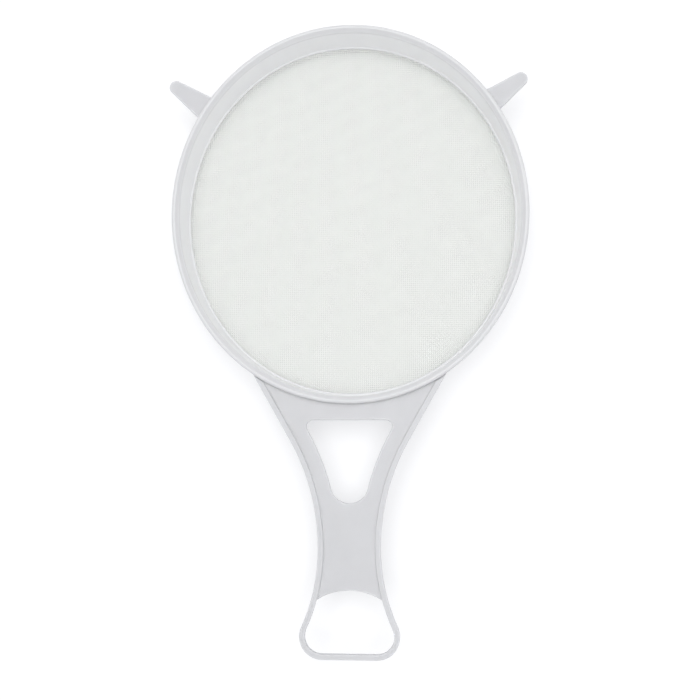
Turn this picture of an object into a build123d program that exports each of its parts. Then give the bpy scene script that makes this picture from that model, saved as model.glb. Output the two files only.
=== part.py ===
from build123d import *
from math import asin, atan2, cos, degrees, radians, sin, sqrt
import os

# Double sieve strainer: a fine sieve with a handle and two bucket lugs, and a coarse sieve that
# drops into it. Millimetres. +Z is up, the handle runs along -Y, and the origin is the centre of
# the oval head on the plane that the strainer stands on.

# The oval head. Every oval in it is given by its half width; its half length is OVAL_EXTRA more.
HEAD_WIDTH = 240.0
HEAD_LENGTH = 256.0
OVAL_EXTRA = (HEAD_LENGTH - HEAD_WIDTH) / 2
LIP_HALF = HEAD_WIDTH / 2

# Levels above the standing plane.
FINE_CLOTH_Z = 3.0
FINE_CLOTH_THICK = 0.5
COARSE_RING_Z = 12.5
COARSE_NET_Z = 15.2
COARSE_NET_THICK = 0.8
REST_Z = 36.0
RIM_Z = 41.0
LIP_TOP_Z = 44.0

# Walls of the two baskets, as half widths.
WALL_THICK = 1.5
NEST_GAP = 0.3
BASKET_PLAY = 0.4
SKIRT_THICK = 1.4
SKIRT_DROP = 4.9
RIM_OUT = LIP_HALF - SKIRT_THICK - NEST_GAP
FINE_IN_TOP = RIM_OUT - WALL_THICK
COARSE_OUT_TOP = FINE_IN_TOP - BASKET_PLAY
COARSE_IN_TOP = COARSE_OUT_TOP - WALL_THICK
COARSE_DRAFT = 1.0
FINE_DRAFT = 1.3
FINE_OUT_LOW = RIM_OUT - FINE_DRAFT
FINE_IN_LOW = FINE_IN_TOP - FINE_DRAFT
COARSE_OUT_LOW = COARSE_OUT_TOP - COARSE_DRAFT
COARSE_IN_LOW = COARSE_IN_TOP - COARSE_DRAFT
SEAT_WIDTH = 1.2
SEAT_THICK = 1.2
SEAT_EDGE = 0.3
RING_LIP = 0.8
CLOTH_PLAY = 0.1
FOOT_ROUND = 0.4
CREST_WIDTH = 2.4
CREST_ROUND_OUT = 1.6
CREST_ROUND_IN = 0.6
FUNNEL_DEPTH = 2.3
FUNNEL_ROUND = 1.2
LIP_GAP = 0.05

# How far a moulded feature runs into the one that it grows from.
OVERLAP = 0.5

# The plate that carries the handle and the lugs.
PLATE_THICK = 3.0
PLATE_ROUND = 0.8
FLANGE_INSET = 0.3
FLANGE_HALF = LIP_HALF - FLANGE_INSET
RIB_WIDTH = 3.7
RIB_RISE = 0.9
RIB_ROUND = 0.7
HANDLE_ROOT_ROUND = 8.0
HANDLE_ROOT_SPAN = (-125.0, -80.0)
LUG_ROOT_ROUND = 4.0
LUG_ROOT_SPAN = (60.0, 90.0)

# Handle outline: straight flanks, a waist between two large arcs, and a loop with round corners.
HANDLE_END_Y = -295.5
WAIST_Y = -223.5
WAIST_HALF = 20.8
FLANK_ANGLE = 29.5
FLANK_RADIUS = 145.0
FLARE_RADIUS = 123.0
LOOP_CORNER = 15.0
ROOT_Y = -95.0

# Openings of the handle.
STRAP_WIDTH = 13.6
WINDOW_TOP_Y = -138.9
WINDOW_CORNER = 4.2
WINDOW_BOTTOM_ROUND = 12.5
ARCH_TOP_Y = -250.6
ARCH_RADIUS = 40.0

# Lugs, which lie opposite the handle. Both sit a little to the left of the head's middle.
LUG_OFFSET = -1.5
LUG_TIP_X = 117.2
LUG_TIP_Y = 89.2
LUG_TIP_RADIUS = 4.6
LUG_ROOT_RADIUS = 10.4
LUG_LENGTH = 40.0
LUG_ANGLE = 36.0

# Gussets under the lugs and the handle's root.
GUSSET_THICK = 2.0
GUSSET_REACH = 8.0
GUSSET_DROP = 15.0
HANDLE_GUSSET_ANGLES = (-108.0, -90.0, -72.0)


def oval(half_width, z=0.0):
    """A flat oval of the head's shape."""
    return Pos(0, 0, z) * Ellipse(half_width, half_width + OVAL_EXTRA)


def oval_solid(half_low, half_high, z_low, z_high):
    """A solid oval plug whose half width changes evenly from bottom to top."""
    return loft([oval(half_low, z_low), oval(half_high, z_high)], ruled=True)


def oval_wall(out_low, out_high, thick, z_low, z_high):
    """A hollow oval wall with an even draft."""
    outside = oval_solid(out_low, out_high, z_low, z_high)
    inside = oval_solid(out_low - thick, out_high - thick, z_low, z_high)
    return outside - inside


def flat_ring(half_out, half_in, z_low, z_high):
    """An oval ring with upright sides."""
    return extrude(oval(half_out, z_low) - oval(half_in, z_low), z_high - z_low)


def edges_at(shape, z):
    """The edges of shape that lie wholly at height z."""
    return shape.edges().filter_by_position(Axis.Z, z - 0.01, z + 0.01)


def handle_outline():
    """The handle's silhouette, from inside the head to the end of the loop."""
    lean = radians(FLANK_ANGLE)
    flank_centre = WAIST_HALF + FLANK_RADIUS
    flank_end = (flank_centre - FLANK_RADIUS * cos(lean), WAIST_Y + FLANK_RADIUS * sin(lean))
    root_half = flank_end[0] + (ROOT_Y - flank_end[1]) * sin(lean) / cos(lean)
    flare_centre = WAIST_HALF + FLARE_RADIUS
    corner_y = HANDLE_END_Y + LOOP_CORNER
    drop = WAIST_Y - corner_y
    corner_x = flare_centre - sqrt((FLARE_RADIUS + LOOP_CORNER) ** 2 - drop**2)
    flare = degrees(asin(drop / (FLARE_RADIUS + LOOP_CORNER)))
    side = [
        Line((root_half, ROOT_Y), flank_end),
        CenterArc((flank_centre, WAIST_Y), FLANK_RADIUS, 180 - FLANK_ANGLE, FLANK_ANGLE),
        CenterArc((flare_centre, WAIST_Y), FLARE_RADIUS, 180, flare),
        CenterArc((corner_x, corner_y), LOOP_CORNER, flare, -90 - flare),
    ]
    right = Curve() + side
    ends = [
        Line((-root_half, ROOT_Y), (root_half, ROOT_Y)),
        Line((-corner_x, HANDLE_END_Y), (corner_x, HANDLE_END_Y)),
    ]
    return make_face(right + mirror(right, Plane.YZ) + ends)


def handle_window():
    """The rounded triangle whose sides keep the straps even."""
    lean = radians(FLANK_ANGLE)
    centre_x = WAIST_HALF + FLANK_RADIUS
    side_radius = FLANK_RADIUS + STRAP_WIDTH
    flank_end = (centre_x - side_radius * cos(lean), WAIST_Y + side_radius * sin(lean))
    top_half = flank_end[0] + (WINDOW_TOP_Y - flank_end[1]) * sin(lean) / cos(lean)
    rise = sqrt((side_radius + WINDOW_BOTTOM_ROUND) ** 2 - centre_x**2)
    meet = degrees(atan2(rise, centre_x))
    right = Curve() + [
        Line((top_half, WINDOW_TOP_Y), flank_end),
        CenterArc((centre_x, WAIST_Y), side_radius, 180 - FLANK_ANGLE, FLANK_ANGLE - meet),
        CenterArc((0, WAIST_Y + rise), WINDOW_BOTTOM_ROUND, -meet, meet - 90),
    ]
    top = Line((-top_half, WINDOW_TOP_Y), (top_half, WINDOW_TOP_Y))
    window = make_face(right + mirror(right, Plane.YZ) + top)
    return fillet(window.vertices().group_by(Axis.Y)[-1], WINDOW_CORNER)


def lug_outline():
    """The right-hand lug before its offset: a tapering tab with a round tip, rooted in the head."""
    lean = radians(LUG_ANGLE)
    root = Pos(LUG_TIP_X - LUG_LENGTH * cos(lean), LUG_TIP_Y - LUG_LENGTH * sin(lean))
    tip = Pos(LUG_TIP_X, LUG_TIP_Y) * Circle(LUG_TIP_RADIUS)
    return make_hull((tip + root * Circle(LUG_ROOT_RADIUS)).edges())


def gusset(angle):
    """A thin triangular web between the basket wall and the plate above it."""
    inner = RIM_OUT - WALL_THICK / 2
    web = Polyline(
        (inner, REST_Z + OVERLAP),
        (RIM_OUT + GUSSET_REACH, REST_Z + OVERLAP),
        (RIM_OUT + GUSSET_REACH, REST_Z),
        (inner, REST_Z - GUSSET_DROP),
        close=True,
    )
    face = Plane.XZ * make_face(web)
    across = cos(radians(angle))
    along = sin(radians(angle))
    reach = 1 / sqrt((across / LIP_HALF) ** 2 + (along / (LIP_HALF + OVAL_EXTRA)) ** 2)
    solid = extrude(face, GUSSET_THICK / 2, both=True)
    return Rot(0, 0, angle) * Pos(reach - LIP_HALF, 0, 0) * solid


def carrier():
    """The rest flange, handle and lugs, before the basket wall is added."""
    handle = handle_outline()
    loop = offset(handle, -RIB_WIDTH) & (Pos(0, ARCH_TOP_Y - ARCH_RADIUS) * Circle(ARCH_RADIUS))
    lug = lug_outline()
    lugs = Pos(LUG_OFFSET, 0) * (lug + mirror(lug, Plane.YZ))
    outline = oval(FLANGE_HALF) + handle + lugs
    plate = extrude(Pos(0, 0, REST_Z) * outline, PLATE_THICK)
    handle_root = plate.edges().filter_by(Axis.Z).filter_by_position(Axis.Y, *HANDLE_ROOT_SPAN)
    plate = fillet(handle_root, HANDLE_ROOT_ROUND)
    lug_root = plate.edges().filter_by(Axis.Z).filter_by_position(Axis.Y, *LUG_ROOT_SPAN)
    plate = fillet(lug_root, LUG_ROOT_ROUND)
    plate -= extrude(Pos(0, 0, REST_Z) * (handle_window() + loop), PLATE_THICK)
    plate = fillet(edges_at(plate, REST_Z) + edges_at(plate, REST_Z + PLATE_THICK), PLATE_ROUND)
    rib_face = handle - offset(handle, -RIB_WIDTH) - oval(LIP_HALF + OVERLAP)
    rib_top = REST_Z + PLATE_THICK + RIB_RISE
    ribs = extrude(Pos(0, 0, REST_Z) * rib_face, rib_top - REST_Z)
    ribs = fillet(edges_at(ribs, rib_top), RIB_ROUND)
    return plate + ribs


def fine_sieve_frame():
    """The basket with its handle and lugs, moulded in one piece."""
    foot_z = FINE_CLOTH_Z + FINE_CLOTH_THICK
    wall = oval_wall(FINE_OUT_LOW, RIM_OUT, WALL_THICK, foot_z, RIM_Z)
    plate = carrier()
    for angle in (*HANDLE_GUSSET_ANGLES, *lug_gusset_angles()):
        plate += gusset(angle)
    plate -= oval_solid(FINE_OUT_LOW - OVERLAP, RIM_OUT - OVERLAP, foot_z, RIM_Z)
    return wall + seat_ring(FINE_IN_LOW, foot_z) + plate


def lug_gusset_angles():
    """The direction from the head's centre to the middle of each lug."""
    lean = radians(LUG_ANGLE)
    middle_x = LUG_TIP_X - LUG_LENGTH / 2 * cos(lean)
    middle_y = LUG_TIP_Y - LUG_LENGTH / 2 * sin(lean)
    return [degrees(atan2(middle_y, LUG_OFFSET + side * middle_x)) for side in (1, -1)]


def seat_ring(half_wall, z_low):
    """The inward foot of a basket wall that holds its cloth down, sloping from the wall to a thin edge."""
    z_high = z_low + SEAT_THICK
    ring = flat_ring(half_wall + OVERLAP, half_wall - SEAT_WIDTH, z_low, z_high)
    return ring - oval_solid(half_wall - SEAT_WIDTH, half_wall, z_low + SEAT_EDGE, z_high)


def weld_ring(half_out, half_in, z_low, z_cloth, cloth_thick):
    """The ring welded under a basket, with a low outer lip that locates the cloth."""
    ring = flat_ring(half_out, half_in, z_low, z_cloth)
    ring = fillet(edges_at(ring, z_low), FOOT_ROUND)
    return ring + flat_ring(half_out, half_out - RING_LIP, z_cloth, z_cloth + cloth_thick)


def cloth(half_out, z, thick):
    """The plain disc that holds a woven cloth's place."""
    return extrude(oval(half_out, z), thick)


def lip_ring(z_low):
    """The basket's lip: a rounded crest, and inside it a funnel slope down to the wall."""
    slope_z = LIP_TOP_Z - FUNNEL_DEPTH
    ring = flat_ring(LIP_HALF, COARSE_IN_TOP, z_low, LIP_TOP_Z)
    ring -= oval_solid(COARSE_IN_TOP, LIP_HALF - CREST_WIDTH, slope_z, LIP_TOP_Z)
    ring = fillet(edges_at(ring, LIP_TOP_Z).sort_by(SortBy.LENGTH)[-1], CREST_ROUND_OUT)
    ring = fillet(edges_at(ring, LIP_TOP_Z).sort_by(SortBy.LENGTH)[0], CREST_ROUND_IN)
    return fillet(edges_at(ring, slope_z), FUNNEL_ROUND)


def coarse_sieve_frame():
    """The drop-in basket, whose lip hooks over the fine sieve's rim."""
    foot_z = COARSE_NET_Z + COARSE_NET_THICK
    lip_low = RIM_Z + LIP_GAP
    skirt = flat_ring(LIP_HALF, LIP_HALF - SKIRT_THICK, LIP_TOP_Z - SKIRT_DROP, lip_low)
    wall = oval_wall(COARSE_OUT_LOW, COARSE_OUT_TOP, WALL_THICK, foot_z, lip_low)
    return lip_ring(lip_low) + skirt + wall + seat_ring(COARSE_IN_LOW, foot_z)


def parts():
    """Every sub-part by its node name."""
    return {
        "fine_sieve_frame": fine_sieve_frame(),
        "fine_mesh": cloth(FINE_OUT_LOW - RING_LIP - CLOTH_PLAY, FINE_CLOTH_Z, FINE_CLOTH_THICK),
        "fine_mesh_ring": weld_ring(
            FINE_OUT_LOW, FINE_IN_LOW - SEAT_WIDTH, 0.0, FINE_CLOTH_Z, FINE_CLOTH_THICK
        ),
        "coarse_sieve_frame": coarse_sieve_frame(),
        "coarse_mesh": cloth(COARSE_OUT_LOW - RING_LIP - CLOTH_PLAY, COARSE_NET_Z, COARSE_NET_THICK),
        "coarse_mesh_ring": weld_ring(
            COARSE_OUT_LOW, COARSE_IN_LOW - SEAT_WIDTH, COARSE_RING_Z, COARSE_NET_Z, COARSE_NET_THICK
        ),
    }


os.makedirs("parts", exist_ok=True)
for name, shape in parts().items():
    export_step(shape, f"parts/{name}.step")
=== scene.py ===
from math import pi, radians, sqrt

import bpy
import numpy as np
from mathutils import Euler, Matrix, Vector


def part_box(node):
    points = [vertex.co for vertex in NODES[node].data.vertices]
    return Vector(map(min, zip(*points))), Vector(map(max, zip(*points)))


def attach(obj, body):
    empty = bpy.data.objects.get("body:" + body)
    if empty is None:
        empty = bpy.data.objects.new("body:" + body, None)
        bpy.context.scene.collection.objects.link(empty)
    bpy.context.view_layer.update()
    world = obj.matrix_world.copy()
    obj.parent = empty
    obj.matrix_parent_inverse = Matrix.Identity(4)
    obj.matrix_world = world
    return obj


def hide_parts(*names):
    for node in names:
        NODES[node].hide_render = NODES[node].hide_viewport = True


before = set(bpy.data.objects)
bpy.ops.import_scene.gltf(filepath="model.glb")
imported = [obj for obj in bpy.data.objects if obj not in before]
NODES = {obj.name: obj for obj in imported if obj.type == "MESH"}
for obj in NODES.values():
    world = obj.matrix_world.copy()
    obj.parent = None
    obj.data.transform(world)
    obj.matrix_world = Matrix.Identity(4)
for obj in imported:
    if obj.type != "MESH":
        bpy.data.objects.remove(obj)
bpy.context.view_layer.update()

MM = 0.001

# The weave of each cloth: the pitch of its threads, and half the width and height of one.
COARSE_PITCH = 1.35 * MM
COARSE_THREAD = (0.30 * MM, 0.20 * MM)
COARSE_SIDES = 4
COARSE_SAG = 0.5 * MM
FINE_PITCH = 0.55 * MM
FINE_SAG = 0.4 * MM

# Waves in a hanging cloth, in radians to a metre; where the first set starts; and their heights.
SLOW_WAVES = (61, 47)
SLOW_START = (0.7, -0.4)
SLANTED_WAVES = (23, 31)
SLANTED_HEIGHT = 0.6
WAVE_SHARE = 0.35

# The fine cloth's disc, in rings about its centre.
CLOTH_RINGS = 48
CLOTH_SPOKES = 144

# Colours. The thin walls let light through, and their colours are painted light: far whiter than the
# same plastic elsewhere, to stand in for that light and to fill the shade inside the baskets.
HANDLE_COLOUR = (0.500, 0.502, 0.514)
LIP_COLOUR = (0.590, 0.592, 0.602)
OUTER_WALL_PAINTED_LIGHT = (0.87, 0.875, 0.88)
INNER_WALL_PAINTED_LIGHT = (0.885, 0.887, 0.900)
RING_COLOUR = (0.94, 0.945, 0.95)
COARSE_THREAD_COLOUR = (0.945, 0.953, 0.937)
FINE_CLOTH_COLOUR = (0.93, 0.94, 0.92)

# The heights between which each wall is thin and gets its whiter painted-light colour, and over what
# height its tone changes.
OUTER_PAINTED_LIGHT_SPAN = (-5 * MM, 35 * MM)
INNER_PAINTED_LIGHT_SPAN = (16.6 * MM, 41.1 * MM)
PAINTED_LIGHT_BLEND = 1.3 * MM

# How far light goes into the plastic, and how the three colours of light share that depth.
FRAME_DEPTH = 4.0 * MM
BASKET_DEPTH = 1.0 * MM
DEPTH_BY_COLOUR = (0.95, 0.97, 1.0)

# The plastic's pattern, in bumps to a metre, and the darkest tone as a share of the full colour.
CLOUDS = 14
STREAKS = 60
GRAIN = 2200
SCUFFS = 260
SURFACE_WAVES = 45
STREAK_STRETCH = (1.0, 0.18, 1.0)
SCUFF_STRETCH = (1.0, 0.04, 1.0)
CLOUD_SHARE = 0.65
STREAK_SHARE = 0.35
GRAIN_SHADE = 0.5
SHADE = 0.95

# Where most of a noise lies between 0 and 1.
NOISE_SPREAD = (0.35, 0.65)

# Roughness from smoothest to roughest, and what the scuffs add to it. Each SPREAD is the part of the
# noise that the change is spread over.
SATIN_ROUGHNESS = (0.36, 0.50)
SATIN_SPREAD = (0.6, 1.4)
SCUFF_ROUGHNESS = (0.0, 0.10)
SCUFF_SPREAD = (0.62, 0.70)
THREAD_ROUGHNESS = (0.32, 0.46)
CLOTH_ROUGHNESS = (0.42, 0.58)

# The depth and strength of each surface's relief, and the grain's height beside the slow waves.
PLASTIC_RELIEF = (0.10 * MM, 0.55)
THREAD_RELIEF = (0.02 * MM, 0.5)
CLOTH_RELIEF = (0.08 * MM, 0.8)
GRAIN_HEIGHT = 0.35

# The cloths' pattern, in bumps to a metre, and their darkest tones in the same way; the fine cloth
# reaches its darkest in painted shade between its threads.
THREAD_PATCHES = 90
THREAD_GLOSS = 700
THREAD_PITS = 1500
THREAD_SHADE = 0.97
CLOTH_PATCHES = 40
CLOTH_GLOSS = 900
CLOTH_SHADE = 0.93
CLOTH_PATCH_SHADE = 0.8

# How much higher the fine cloth's upper thread is at a crossing, and over what height of its weave
# the painted shade in the hollows between threads gives way to full colour.
OVER_UNDER = 0.25
HOLLOW_SHADE_SPREAD = (0.4, 1.1)

# How much light passes through each thread; below what height of its weave the fine cloth is open,
# and over what height its holes close.
COARSE_PASS = 0.25
FINE_PASS = 0.60
FINE_OPEN = 0.40
FINE_SOFT = 0.12

# How each material bends light, and how strong its highlights are.
PLASTIC_IOR = 1.49
NYLON_IOR = 1.53
PLASTIC_SHINE = 0.45
NYLON_SHINE = 0.4

# The table, the tent of light around it, and the lamp above the head.
FLOOR_HALF = 20.0
FLOOR_DARK = (0.44, 0.44, 0.445, 1)
FLOOR_LIGHT = (0.46, 0.46, 0.465, 1)
FLOOR_PATCHES = 3
FLOOR_ROUGHNESS = 0.9
FLOOR_SHINE = 0.1
FLOOR_GLOW = 0.445
PALE_LIGHT = (0.98, 0.985, 1.0, 1)
TENT_LOW = 0.76
TENT_HIGH = 0.62
HEAD = (0, 0, 0.03)
KEY_PLACE = (0.05, 0.12, 2.2)
KEY_SIDE = 1.8
KEY_POWER = 44.3

# Light goes back and forth often between the pale walls, so the baskets need many bounces to fill.
DIFFUSE_BOUNCES = 10

# The camera, 0.7 m above the rim, a little to the right of the handle and nearly straight down.
SENSOR = 36.0
CAMERA_FIELD = radians(36.43296)
CAMERA_PLACE = (0.0535, -0.1391, 0.744)
CAMERA_TURN = (radians(3.787), radians(4.289), radians(-0.082))


# ---------------------------------------------------------------- shader helpers


class Shader:
    """A material's node tree, with short calls to add nodes and join them."""

    def __init__(self, name):
        self.material = bpy.data.materials.new(name)
        self.material.use_nodes = True
        self.tree = self.material.node_tree
        self.surface = self.tree.nodes["Principled BSDF"]
        self.output = self.tree.nodes["Material Output"]

    def node(self, kind, **values):
        """A new node. A value is a plain setting, a socket to read from, or a socket's own value."""
        made = self.tree.nodes.new("ShaderNode" + kind)
        for key, value in values.items():
            if key in made.bl_rna.properties and key not in made.inputs:
                setattr(made, key, value)
            else:
                self.join(value, made.inputs[key.replace("_", " ")])
        return made

    def join(self, value, socket):
        if isinstance(value, bpy.types.NodeSocket):
            self.tree.links.new(value, socket)
        else:
            socket.default_value = value

    def set(self, **values):
        for key, value in values.items():
            self.join(value, self.surface.inputs[key.replace("_", " ")])

    def math(self, operation, *values):
        made = self.tree.nodes.new("ShaderNodeMath")
        made.operation = operation
        for socket, value in zip(made.inputs, values):
            self.join(value, socket)
        return made.outputs[0]

    def place(self):
        """The point on the piece in metres, in the piece's own axes."""
        return self.node("TexCoord").outputs["Object"]

    def noise(self, scale, detail=2.0, roughness=0.5, stretch=None):
        """Noise from 0 to 1, with about scale bumps to a metre."""
        point = self.place()
        if stretch:
            point = self.node("Mapping", Vector=point, Scale=stretch).outputs[0]
        made = self.node("TexNoise", Vector=point, Scale=scale, Detail=detail, Roughness=roughness)
        return made.outputs["Fac"]

    def ramp(self, value, low, high, start=0.0, end=1.0):
        """value from start to end mapped onto low to high."""
        made = self.node("MapRange", Value=value)
        made.inputs["From Min"].default_value = start
        made.inputs["From Max"].default_value = end
        made.inputs["To Min"].default_value = low
        made.inputs["To Max"].default_value = high
        return made.outputs[0]

    def blend(self, factor, first, second):
        """Two colours mixed by factor."""
        made = self.tree.nodes.new("ShaderNodeMix")
        made.data_type = "RGBA"
        self.join(factor, made.inputs["Factor"])
        self.join(first, made.inputs[6])
        self.join(second, made.inputs[7])
        return made.outputs[2]

    def shaded(self, colour, tone):
        """colour where tone is 1, and a little darker where it is 0."""
        dark = tuple(SHADE * c for c in colour)
        return self.blend(tone, (*dark, 1), (*colour, 1))

    def bump(self, height, distance, strength):
        made = self.node("Bump", Height=height, Distance=distance, Strength=strength)
        self.join(made.outputs[0], self.surface.inputs["Normal"])

    def pass_light(self, colour, share, solid=None):
        """Lets a share of the light through, and opens holes where solid is 0."""
        through = self.node("BsdfTranslucent", Color=colour)
        both = self.node("MixShader")
        self.join(share, both.inputs[0])
        self.join(self.surface.outputs[0], both.inputs[1])
        self.join(through.outputs[0], both.inputs[2])
        if solid is not None:
            clear = self.node("BsdfTransparent")
            holes = self.node("MixShader")
            self.join(solid, holes.inputs[0])
            self.join(clear.outputs[0], holes.inputs[1])
            self.join(both.outputs[0], holes.inputs[2])
            both = holes
        self.join(both.outputs[0], self.output.inputs["Surface"])


# ---------------------------------------------------------------- materials


def moulded_plastic(name, colour, depth, painted_light_colour=None, painted_light_span=None):
    """Satin polypropylene: faint clouding, flow streaks, and the fine grain of a spark-eroded mould.

    depth is how far light goes into it. The thin basket wall lets light through; painted_light_colour
    is a whiter colour painted on it as painted light to stand in for that light, and
    painted_light_span the heights that it lies between."""
    s = Shader(name)
    clouds = s.noise(CLOUDS, detail=3)
    streaks = s.noise(STREAKS, detail=2, stretch=STREAK_STRETCH)
    faint = s.math("MULTIPLY", clouds, CLOUD_SHARE)
    mottle = s.math("ADD", faint, s.math("MULTIPLY", streaks, STREAK_SHARE))
    grain = s.noise(GRAIN, detail=2, roughness=0.6)
    patches = s.ramp(mottle, 0.0, 1.0, *NOISE_SPREAD)
    specks = s.ramp(grain, GRAIN_SHADE, 1.0, *NOISE_SPREAD)
    tone = s.math("MULTIPLY", patches, specks)
    tint = s.shaded(colour, tone)
    # Painted light: between the wall heights the colour turns to a far whiter copy of the plastic,
    # standing in for light through the thin wall and filling the shade inside the basket.
    if painted_light_colour:
        height = s.node("SeparateXYZ", Vector=s.place()).outputs[2]
        low, high = painted_light_span
        rise = s.ramp(height, 0.0, 1.0, low - PAINTED_LIGHT_BLEND, low + PAINTED_LIGHT_BLEND)
        fall = s.ramp(height, 1.0, 0.0, high - PAINTED_LIGHT_BLEND, high + PAINTED_LIGHT_BLEND)
        tint = s.blend(s.math("MULTIPLY", rise, fall), tint, s.shaded(painted_light_colour, tone))
    s.set(Base_Color=tint)
    satin = s.ramp(s.math("ADD", grain, clouds), *SATIN_ROUGHNESS, *SATIN_SPREAD)
    lines = s.noise(SCUFFS, detail=2, stretch=SCUFF_STRETCH)
    scuffs = s.ramp(lines, *SCUFF_ROUGHNESS, *SCUFF_SPREAD)
    s.set(Roughness=s.math("ADD", satin, scuffs))
    s.surface.inputs["IOR"].default_value = PLASTIC_IOR
    s.surface.inputs["Specular IOR Level"].default_value = PLASTIC_SHINE
    s.surface.inputs["Subsurface Weight"].default_value = 1.0
    s.surface.inputs["Subsurface Radius"].default_value = DEPTH_BY_COLOUR
    s.surface.inputs["Subsurface Scale"].default_value = depth
    waves = s.noise(SURFACE_WAVES, detail=1)
    s.bump(s.math("ADD", s.math("MULTIPLY", grain, GRAIN_HEIGHT), waves), *PLASTIC_RELIEF)
    return s.material


def nylon_thread(name, colour):
    """A drawn nylon thread: smooth, white and a little glossy, with a slow change of tone."""
    s = Shader(name)
    tone = s.noise(THREAD_PATCHES, detail=2)
    dark = tuple(THREAD_SHADE * c for c in colour)
    s.set(Base_Color=s.blend(tone, (*dark, 1), (*colour, 1)))
    s.set(Roughness=s.ramp(s.noise(THREAD_GLOSS, detail=1), *THREAD_ROUGHNESS))
    s.surface.inputs["IOR"].default_value = NYLON_IOR
    s.surface.inputs["Specular IOR Level"].default_value = NYLON_SHINE
    s.bump(s.noise(THREAD_PITS, detail=1), *THREAD_RELIEF)
    s.pass_light((*colour, 1), COARSE_PASS)
    return s.material


def fine_weave(name, colour):
    """A plain weave too fine to model: rounded threads over and under, with holes between them and
    painted shade in the hollows where they dip.
    """
    s = Shader(name)
    axes = s.node("SeparateXYZ", Vector=s.place())
    across = s.math("MULTIPLY", axes.outputs[0], pi / FINE_PITCH)
    along = s.math("MULTIPLY", axes.outputs[1], pi / FINE_PITCH)
    warp = s.math("ABSOLUTE", s.math("SINE", across))
    weft = s.math("ABSOLUTE", s.math("SINE", along))
    over = s.math("MULTIPLY", s.math("COSINE", across), s.math("COSINE", along))
    lift = s.math("MULTIPLY", over, OVER_UNDER)
    height = s.math("MAXIMUM", s.math("ADD", warp, lift), s.math("SUBTRACT", weft, lift))
    thread = s.ramp(height, 0.0, 1.0, FINE_OPEN, FINE_OPEN + FINE_SOFT)
    # Painted shade: the cloth is darker where its weave dips, in the hollows between threads, and
    # full colour at the crests.
    dark = tuple(CLOTH_SHADE * c for c in colour)
    painted_hollow_shade = s.ramp(height, 0.0, 1.0, *HOLLOW_SHADE_SPREAD)
    tone = s.math("MULTIPLY", painted_hollow_shade, s.ramp(s.noise(CLOTH_PATCHES), CLOTH_PATCH_SHADE, 1.0))
    tint = s.blend(tone, (*dark, 1), (*colour, 1))
    s.set(Base_Color=tint)
    s.set(Roughness=s.ramp(s.noise(CLOTH_GLOSS, detail=1), *CLOTH_ROUGHNESS))
    s.bump(height, *CLOTH_RELIEF)
    s.pass_light(tint, FINE_PASS, thread)
    return s.material


def pale_floor(name):
    """A matt light table: lit from above, with a little light of its own that softens the shadows."""
    s = Shader(name)
    s.set(Base_Color=s.blend(s.noise(FLOOR_PATCHES), FLOOR_DARK, FLOOR_LIGHT))
    s.surface.inputs["Roughness"].default_value = FLOOR_ROUGHNESS
    s.surface.inputs["Specular IOR Level"].default_value = FLOOR_SHINE
    s.surface.inputs["Emission Color"].default_value = PALE_LIGHT
    s.surface.inputs["Emission Strength"].default_value = FLOOR_GLOW
    return s.material


# ---------------------------------------------------------------- mesh helpers


def mesh_piece(name, points, faces, material, body):
    """A mesh object in the row frame that rides on a body."""
    mesh = bpy.data.meshes.new(name)
    mesh.vertices.add(len(points))
    mesh.vertices.foreach_set("co", np.asarray(points, np.float32).ravel())
    faces = np.asarray(faces, np.int32)
    corners = faces.shape[1]
    mesh.loops.add(faces.size)
    mesh.loops.foreach_set("vertex_index", faces.ravel())
    mesh.polygons.add(len(faces))
    mesh.polygons.foreach_set("loop_start", np.arange(len(faces), dtype=np.int32) * corners)
    mesh.polygons.foreach_set("use_smooth", np.full(len(faces), True))
    mesh.update(calc_edges=True)
    mesh.validate()
    mesh.materials.append(material)
    piece = bpy.data.objects.new(name, mesh)
    bpy.context.scene.collection.objects.link(piece)
    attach(piece, body)
    return piece


def disc_of(node):
    """The half width, half length and middle height of a cloth's place."""
    low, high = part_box(node)
    return high.x, high.y, (low.z + high.z) / 2


def hang(x, y, half_x, half_y, sag):
    """How far a stretched cloth dips at a point: a shallow bowl with a few slow waves."""
    edge = np.clip(1 - (x / half_x) ** 2 - (y / half_y) ** 2, 0, 1)
    slow = np.sin(x * SLOW_WAVES[0] + SLOW_START[0]) * np.cos(y * SLOW_WAVES[1] + SLOW_START[1])
    slanted = np.sin(x * SLANTED_WAVES[0] - y * SLANTED_WAVES[1])
    return -sag * edge * (1 + WAVE_SHARE * (slow + SLANTED_HEIGHT * slanted))


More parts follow.
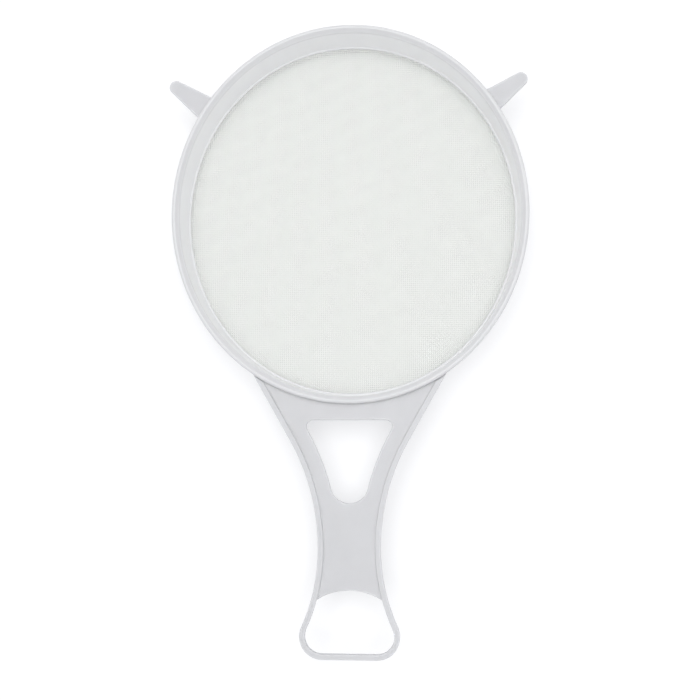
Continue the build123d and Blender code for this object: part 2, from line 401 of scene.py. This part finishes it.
def threads(along_y, phase):
    """Points and faces of one set of parallel threads that pass over and under the other set."""
    pitch, sides = COARSE_PITCH, COARSE_SIDES
    half_wide, half_high = COARSE_THREAD
    half_x, half_y, middle = disc_of("coarse_mesh")
    half_u, half_v = (half_x, half_y) if along_y else (half_y, half_x)
    count = int(half_u / pitch)
    turn = 2 * pi * np.arange(sides) / sides
    points, faces, used = [], [], 0
    for i in range(-count, count + 1):
        u = i * pitch
        reach = half_v * sqrt(max(0.0, 1 - (u / half_u) ** 2))
        crossings = int(reach / pitch)
        if crossings < 1:
            continue
        j = np.arange(-crossings, crossings + 1)
        v = j * pitch
        v[0] = -reach
        v[-1] = reach
        side = np.where((i + j + phase) % 2 == 0, 1.0, -1.0)
        x, y = (np.full_like(v, u), v) if along_y else (v, np.full_like(v, u))
        z = middle + half_high * side + hang(x, y, half_x, half_y, COARSE_SAG)
        outward = half_wide * np.cos(turn)
        upward = half_high * np.sin(turn)
        ring_x = x[:, None] + (outward if along_y else 0 * outward)
        ring_y = y[:, None] + (0 * outward if along_y else outward)
        ring_z = z[:, None] + upward
        points.append(np.stack([ring_x, ring_y, ring_z], axis=2).reshape(-1, 3))
        ring = np.arange(len(v) - 1)[:, None] * sides + used
        a = ring + np.arange(sides)
        b = ring + (np.arange(sides) + 1) % sides
        quads = np.stack([a, b, b + sides, a + sides], axis=2).reshape(-1, 4)
        faces.append(quads if not along_y else quads[:, ::-1])
        used += len(v) * sides
    return np.concatenate(points), np.concatenate(faces)


def coarse_net(material):
    """The upper net, woven thread by thread, clamped between its frame and its ring."""
    for name, along_y, phase in (("coarse_net_warp", True, 0), ("coarse_net_weft", False, 1)):
        points, faces = threads(along_y, phase)
        piece = mesh_piece(name, points, faces, material, "coarse_sieve")
        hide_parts("coarse_mesh")


def fine_cloth(material):
    """The lower cloth, one thin sheet of rings about its centre."""
    half_x, half_y, middle = disc_of("fine_mesh")
    rings, spokes = CLOTH_RINGS, CLOTH_SPOKES
    turn = 2 * pi * np.arange(spokes) / spokes
    share = (np.arange(1, rings + 1) / rings)[:, None]
    x = (share * half_x * np.cos(turn)).ravel()
    y = (share * half_y * np.sin(turn)).ravel()
    x = np.append(x, 0.0)
    y = np.append(y, 0.0)
    z = middle + hang(x, y, half_x, half_y, FINE_SAG)
    quads = []
    for ring in range(rings - 1):
        a = ring * spokes + np.arange(spokes)
        b = ring * spokes + (np.arange(spokes) + 1) % spokes
        quads.append(np.stack([a, a + spokes, b + spokes, b], axis=1))
    centre = rings * spokes
    a = np.arange(0, spokes, 2)
    quads.append(np.stack([a, a + 1, (a + 2) % spokes, np.full_like(a, centre)], axis=1))
    piece = mesh_piece("fine_cloth", np.stack([x, y, z], axis=1), np.concatenate(quads), material,
                       "fine_sieve")
    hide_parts("fine_mesh")


# ---------------------------------------------------------------- the strainer

# The frame's and the basket's walls are painted lighter by height, as painted light.
FRAME_PLASTIC = moulded_plastic(
    "frame_plastic", HANDLE_COLOUR, FRAME_DEPTH, OUTER_WALL_PAINTED_LIGHT, OUTER_PAINTED_LIGHT_SPAN
)
BASKET_PLASTIC = moulded_plastic(
    "basket_plastic", LIP_COLOUR, BASKET_DEPTH, INNER_WALL_PAINTED_LIGHT, INNER_PAINTED_LIGHT_SPAN
)
RING_PLASTIC = moulded_plastic("ring_plastic", RING_COLOUR, BASKET_DEPTH)

for node, material in {
    "fine_sieve_frame": FRAME_PLASTIC,
    "coarse_sieve_frame": BASKET_PLASTIC,
    "fine_mesh_ring": RING_PLASTIC,
    "coarse_mesh_ring": RING_PLASTIC,
}.items():
    NODES[node].data.materials.clear()
    NODES[node].data.materials.append(material)

coarse_net(nylon_thread("coarse_net", COARSE_THREAD_COLOUR))
fine_cloth(fine_weave("fine_cloth", FINE_CLOTH_COLOUR))


# ---------------------------------------------------------------- floor, light and camera

floor_mesh = bpy.data.meshes.new("floor")
corners = [(FLOOR_HALF * x, FLOOR_HALF * y, 0.0) for x, y in ((-1, -1), (1, -1), (1, 1), (-1, 1))]
floor_mesh.from_pydata(corners, [], [(0, 1, 2, 3)])
floor_mesh.materials.append(pale_floor("floor"))
floor = bpy.data.objects.new("floor", floor_mesh)
bpy.context.scene.collection.objects.link(floor)

# One square softbox above the head.
key = bpy.data.lights.new("key", "AREA")
key.shape = "SQUARE"
key.size = KEY_SIDE
key.energy = KEY_POWER
lamp = bpy.data.objects.new("key", key)
lamp.location = KEY_PLACE
lamp.rotation_euler = (Vector(HEAD) - Vector(KEY_PLACE)).to_track_quat("-Z", "Y").to_euler()
bpy.context.scene.collection.objects.link(lamp)

# The tent of light, a little brighter at the horizon than overhead.
world = bpy.data.worlds.new("studio")
world.use_nodes = True
tent = world.node_tree
direction = tent.nodes.new("ShaderNodeSeparateXYZ")
tent.links.new(tent.nodes.new("ShaderNodeTexCoord").outputs["Generated"], direction.inputs[0])
height = tent.nodes.new("ShaderNodeMapRange")
height.interpolation_type = "SMOOTHSTEP"
height.inputs["To Min"].default_value = TENT_LOW
height.inputs["To Max"].default_value = TENT_HIGH
tent.links.new(direction.outputs["Z"], height.inputs["Value"])
tent.links.new(height.outputs[0], tent.nodes["Background"].inputs["Strength"])
tent.nodes["Background"].inputs["Color"].default_value = PALE_LIGHT
bpy.context.scene.world = world
bpy.context.scene.cycles.diffuse_bounces = DIFFUSE_BOUNCES
bpy.context.scene.view_settings.view_transform = "Standard"
bpy.context.scene.view_settings.look = "None"

camera_data = bpy.data.cameras.new("camera")
camera_data.sensor_width = SENSOR
camera_data.angle = CAMERA_FIELD
camera_data.clip_start = 0.01
camera = bpy.data.objects.new("camera", camera_data)
camera.location = CAMERA_PLACE
camera.rotation_euler = Euler(CAMERA_TURN, "XYZ")
bpy.context.scene.collection.objects.link(camera)
bpy.context.scene.camera = camera
